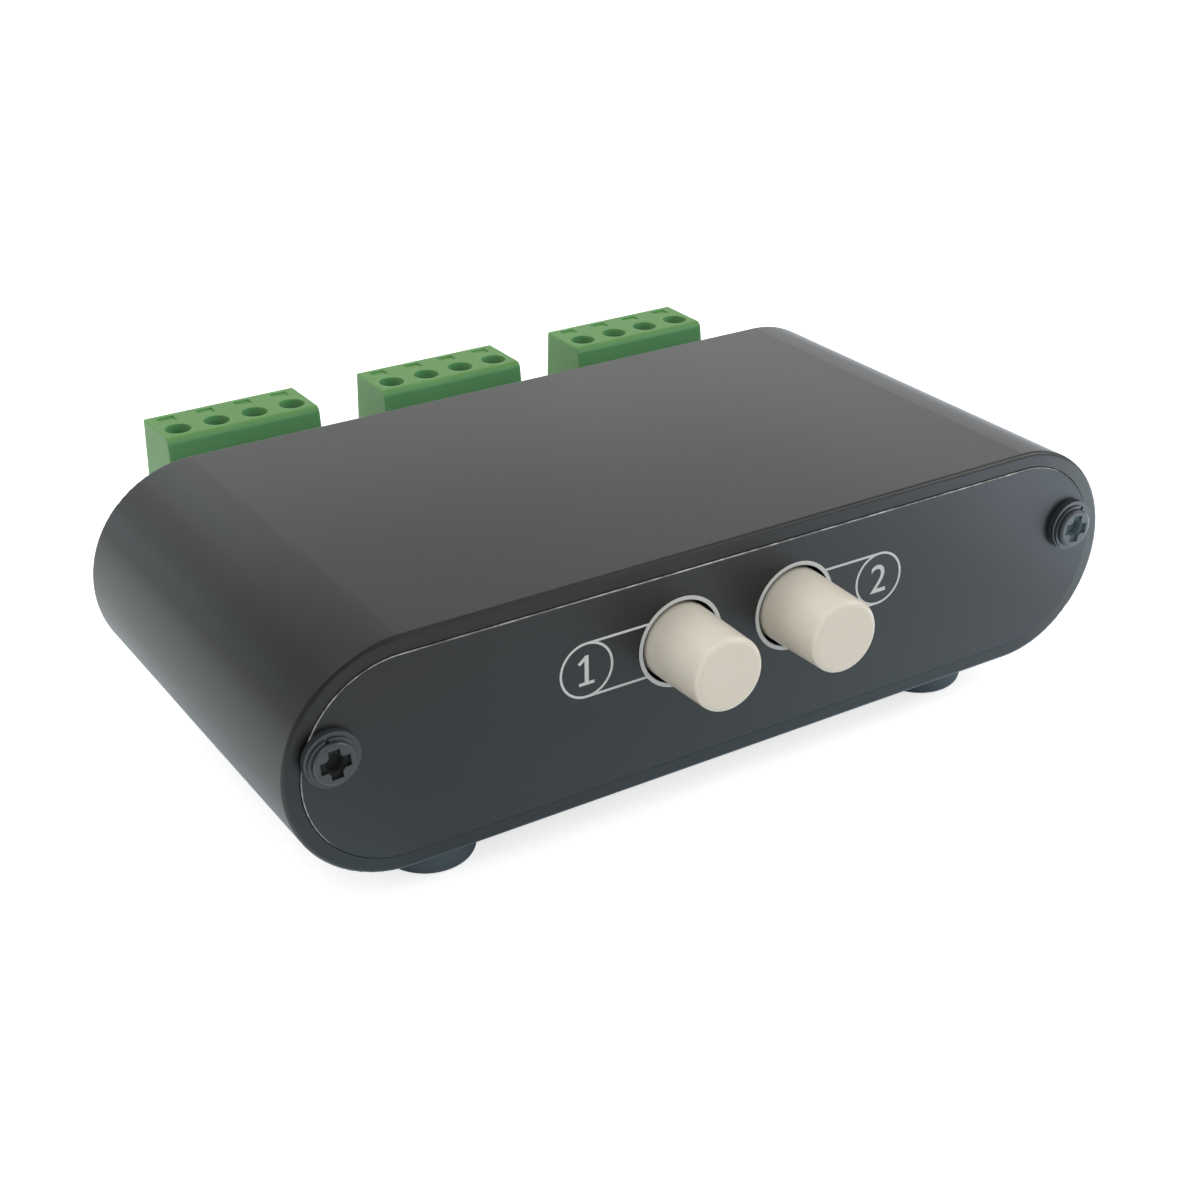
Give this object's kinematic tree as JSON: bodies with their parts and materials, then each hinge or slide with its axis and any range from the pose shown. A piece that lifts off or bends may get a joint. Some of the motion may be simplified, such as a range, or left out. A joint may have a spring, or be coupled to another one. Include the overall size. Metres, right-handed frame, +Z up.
{
  "type": "speaker selector switch",
  "caption": "Low obround metal case with push buttons in its front panel, screw terminals that plug in behind and rubber feet.",
  "frame": {"origin": "on the surface that the feet stand on, under the middle of the whole part", "axes": "+X to the right seen from the front, +Y to the back, +Z up"},
  "size_m": [0.109, 0.0804, 0.0318],
  "materials": {
    "black_anodised": "satin black anodised",
    "panel_anodised": "satin black anodised, with light grey print",
    "black_steel": "black zinc plated",
    "rubber": "smooth",
    "ivory_plastic": "glossy",
    "green_plastic": "satin",
    "board": "solder mask",
    "switch_plastic": "satin",
    "slider_plastic": "satin",
    "base_plastic": "laminate",
    "tinned_brass": "tin plated",
    "bright_steel": "zinc plated"
  },
  "bodies": {
    "case": {"case_tube": "black_anodised", "front_panel": "panel_anodised", "rear_panel": "panel_anodised", "panel_screws": "black_steel", "panel_spring_washers": "black_steel", "panel_flat_washers": "black_steel", "rubber_feet": "rubber", "circuit_board": "board", "switch_terminals": "tinned_brass", "header_pins": "tinned_brass", "switch_1_housing": "switch_plastic", "switch_1_base": "base_plastic", "switch_1_latch_wire": "bright_steel", "switch_1_return_spring": "bright_steel", "switch_2_housing": "switch_plastic", "switch_2_base": "base_plastic", "switch_2_latch_wire": "bright_steel", "switch_2_return_spring": "bright_steel", "header_1_housing": "green_plastic", "header_2_housing": "green_plastic", "header_3_housing": "green_plastic"},
    "button_1": {"button_1_cap": "ivory_plastic", "switch_1_slider": "slider_plastic", "switch_1_sliding_contacts": "tinned_brass"},
    "button_2": {"button_2_cap": "ivory_plastic", "switch_2_slider": "slider_plastic", "switch_2_sliding_contacts": "tinned_brass"},
    "plug_1": {"plug_1_housing": "green_plastic", "plug_1_sockets": "tinned_brass"},
    "plug_1_screw_1": {"plug_1_clamp_screw_1": "bright_steel"},
    "plug_1_cage_1": {"plug_1_clamp_cage_1": "bright_steel"},
    "plug_1_screw_2": {"plug_1_clamp_screw_2": "bright_steel"},
    "plug_1_cage_2": {"plug_1_clamp_cage_2": "bright_steel"},
    "plug_1_screw_3": {"plug_1_clamp_screw_3": "bright_steel"},
    "plug_1_cage_3": {"plug_1_clamp_cage_3": "bright_steel"},
    "plug_1_screw_4": {"plug_1_clamp_screw_4": "bright_steel"},
    "plug_1_cage_4": {"plug_1_clamp_cage_4": "bright_steel"},
    "plug_2": {"plug_2_housing": "green_plastic", "plug_2_sockets": "tinned_brass"},
    "plug_2_screw_1": {"plug_2_clamp_screw_1": "bright_steel"},
    "plug_2_cage_1": {"plug_2_clamp_cage_1": "bright_steel"},
    "plug_2_screw_2": {"plug_2_clamp_screw_2": "bright_steel"},
    "plug_2_cage_2": {"plug_2_clamp_cage_2": "bright_steel"},
    "plug_2_screw_3": {"plug_2_clamp_screw_3": "bright_steel"},
    "plug_2_cage_3": {"plug_2_clamp_cage_3": "bright_steel"},
    "plug_2_screw_4": {"plug_2_clamp_screw_4": "bright_steel"},
    "plug_2_cage_4": {"plug_2_clamp_cage_4": "bright_steel"},
    "plug_3": {"plug_3_housing": "green_plastic", "plug_3_sockets": "tinned_brass"},
    "plug_3_screw_1": {"plug_3_clamp_screw_1": "bright_steel"},
    "plug_3_cage_1": {"plug_3_clamp_cage_1": "bright_steel"},
    "plug_3_screw_2": {"plug_3_clamp_screw_2": "bright_steel"},
    "plug_3_cage_2": {"plug_3_clamp_cage_2": "bright_steel"},
    "plug_3_screw_3": {"plug_3_clamp_screw_3": "bright_steel"},
    "plug_3_cage_3": {"plug_3_clamp_cage_3": "bright_steel"},
    "plug_3_screw_4": {"plug_3_clamp_screw_4": "bright_steel"},
    "plug_3_cage_4": {"plug_3_clamp_cage_4": "bright_steel"}
  },
  "joints": [
    {"name": "button_1_press", "type": "slide", "parent": "case", "child": "button_1", "axis": [0, 1, 0], "range_m": [0, 0.0035], "stiffness_N_per_m": 500, "springref_m": -0.002, "deforming": ["switch_1_return_spring"]},
    {"name": "button_2_press", "type": "slide", "parent": "case", "child": "button_2", "axis": [0, 1, 0], "range_m": [0, 0.0035], "stiffness_N_per_m": 500, "springref_m": -0.002, "deforming": ["switch_2_return_spring"]},
    {"name": "plug_1_pull", "type": "slide", "parent": "case", "child": "plug_1", "axis": [0, 1, 0], "range_m": [0, 0.012]},
    {"name": "plug_1_screw_1_turn", "type": "hinge", "parent": "plug_1", "child": "plug_1_screw_1", "pos_m": [-0.03792, 0.03455, 0.02095], "axis": [0, 0, -1], "range_deg": [0, 1800]},
    {"name": "plug_1_cage_1_rise", "type": "slide", "parent": "plug_1", "child": "plug_1_cage_1", "axis": [0, 0, 1], "range_m": [0, 0.0025]},
    {"name": "plug_1_screw_2_turn", "type": "hinge", "parent": "plug_1", "child": "plug_1_screw_2", "pos_m": [-0.03284, 0.03455, 0.02095], "axis": [0, 0, -1], "range_deg": [0, 1800]},
    {"name": "plug_1_cage_2_rise", "type": "slide", "parent": "plug_1", "child": "plug_1_cage_2", "axis": [0, 0, 1], "range_m": [0, 0.0025]},
    {"name": "plug_1_screw_3_turn", "type": "hinge", "parent": "plug_1", "child": "plug_1_screw_3", "pos_m": [-0.02776, 0.03455, 0.02095], "axis": [0, 0, -1], "range_deg": [0, 1800]},
    {"name": "plug_1_cage_3_rise", "type": "slide", "parent": "plug_1", "child": "plug_1_cage_3", "axis": [0, 0, 1], "range_m": [0, 0.0025]},
    {"name": "plug_1_screw_4_turn", "type": "hinge", "parent": "plug_1", "child": "plug_1_screw_4", "pos_m": [-0.02268, 0.03455, 0.02095], "axis": [0, 0, -1], "range_deg": [0, 1800]},
    {"name": "plug_1_cage_4_rise", "type": "slide", "parent": "plug_1", "child": "plug_1_cage_4", "axis": [0, 0, 1], "range_m": [0, 0.0025]},
    {"name": "plug_2_pull", "type": "slide", "parent": "case", "child": "plug_2", "axis": [0, 1, 0], "range_m": [0, 0.012]},
    {"name": "plug_2_screw_1_turn", "type": "hinge", "parent": "plug_2", "child": "plug_2_screw_1", "pos_m": [-0.00852, 0.03455, 0.02095], "axis": [0, 0, -1], "range_deg": [0, 1800]},
    {"name": "plug_2_cage_1_rise", "type": "slide", "parent": "plug_2", "child": "plug_2_cage_1", "axis": [0, 0, 1], "range_m": [0, 0.0025]},
    {"name": "plug_2_screw_2_turn", "type": "hinge", "parent": "plug_2", "child": "plug_2_screw_2", "pos_m": [-0.00344, 0.03455, 0.02095], "axis": [0, 0, -1], "range_deg": [0, 1800]},
    {"name": "plug_2_cage_2_rise", "type": "slide", "parent": "plug_2", "child": "plug_2_cage_2", "axis": [0, 0, 1], "range_m": [0, 0.0025]},
    {"name": "plug_2_screw_3_turn", "type": "hinge", "parent": "plug_2", "child": "plug_2_screw_3", "pos_m": [0.00164, 0.03455, 0.02095], "axis": [0, 0, -1], "range_deg": [0, 1800]},
    {"name": "plug_2_cage_3_rise", "type": "slide", "parent": "plug_2", "child": "plug_2_cage_3", "axis": [0, 0, 1], "range_m": [0, 0.0025]},
    {"name": "plug_2_screw_4_turn", "type": "hinge", "parent": "plug_2", "child": "plug_2_screw_4", "pos_m": [0.00672, 0.03455, 0.02095], "axis": [0, 0, -1], "range_deg": [0, 1800]},
    {"name": "plug_2_cage_4_rise", "type": "slide", "parent": "plug_2", "child": "plug_2_cage_4", "axis": [0, 0, 1], "range_m": [0, 0.0025]},
    {"name": "plug_3_pull", "type": "slide", "parent": "case", "child": "plug_3", "axis": [0, 1, 0], "range_m": [0, 0.012]},
    {"name": "plug_3_screw_1_turn", "type": "hinge", "parent": "plug_3", "child": "plug_3_screw_1", "pos_m": [0.02088, 0.03455, 0.02095], "axis": [0, 0, -1], "range_deg": [0, 1800]},
    {"name": "plug_3_cage_1_rise", "type": "slide", "parent": "plug_3", "child": "plug_3_cage_1", "axis": [0, 0, 1], "range_m": [0, 0.0025]},
    {"name": "plug_3_screw_2_turn", "type": "hinge", "parent": "plug_3", "child": "plug_3_screw_2", "pos_m": [0.02596, 0.03455, 0.02095], "axis": [0, 0, -1], "range_deg": [0, 1800]},
    {"name": "plug_3_cage_2_rise", "type": "slide", "parent": "plug_3", "child": "plug_3_cage_2", "axis": [0, 0, 1], "range_m": [0, 0.0025]},
    {"name": "plug_3_screw_3_turn", "type": "hinge", "parent": "plug_3", "child": "plug_3_screw_3", "pos_m": [0.03104, 0.03455, 0.02095], "axis": [0, 0, -1], "range_deg": [0, 1800]},
    {"name": "plug_3_cage_3_rise", "type": "slide", "parent": "plug_3", "child": "plug_3_cage_3", "axis": [0, 0, 1], "range_m": [0, 0.0025]},
    {"name": "plug_3_screw_4_turn", "type": "hinge", "parent": "plug_3", "child": "plug_3_screw_4", "pos_m": [0.03612, 0.03455, 0.02095], "axis": [0, 0, -1], "range_deg": [0, 1800]},
    {"name": "plug_3_cage_4_rise", "type": "slide", "parent": "plug_3", "child": "plug_3_cage_4", "axis": [0, 0, 1], "range_m": [0, 0.0025]}
  ],
  "couplings": [
    {"joint": "plug_1_screw_1_turn", "follows": "plug_1_cage_1_rise", "rad_per_m": 12566},
    {"joint": "plug_1_screw_2_turn", "follows": "plug_1_cage_2_rise", "rad_per_m": 12566},
    {"joint": "plug_1_screw_3_turn", "follows": "plug_1_cage_3_rise", "rad_per_m": 12566},
    {"joint": "plug_1_screw_4_turn", "follows": "plug_1_cage_4_rise", "rad_per_m": 12566},
    {"joint": "plug_2_screw_1_turn", "follows": "plug_2_cage_1_rise", "rad_per_m": 12566},
    {"joint": "plug_2_screw_2_turn", "follows": "plug_2_cage_2_rise", "rad_per_m": 12566},
    {"joint": "plug_2_screw_3_turn", "follows": "plug_2_cage_3_rise", "rad_per_m": 12566},
    {"joint": "plug_2_screw_4_turn", "follows": "plug_2_cage_4_rise", "rad_per_m": 12566},
    {"joint": "plug_3_screw_1_turn", "follows": "plug_3_cage_1_rise", "rad_per_m": 12566},
    {"joint": "plug_3_screw_2_turn", "follows": "plug_3_cage_2_rise", "rad_per_m": 12566},
    {"joint": "plug_3_screw_3_turn", "follows": "plug_3_cage_3_rise", "rad_per_m": 12566},
    {"joint": "plug_3_screw_4_turn", "follows": "plug_3_cage_4_rise", "rad_per_m": 12566}
  ]
}
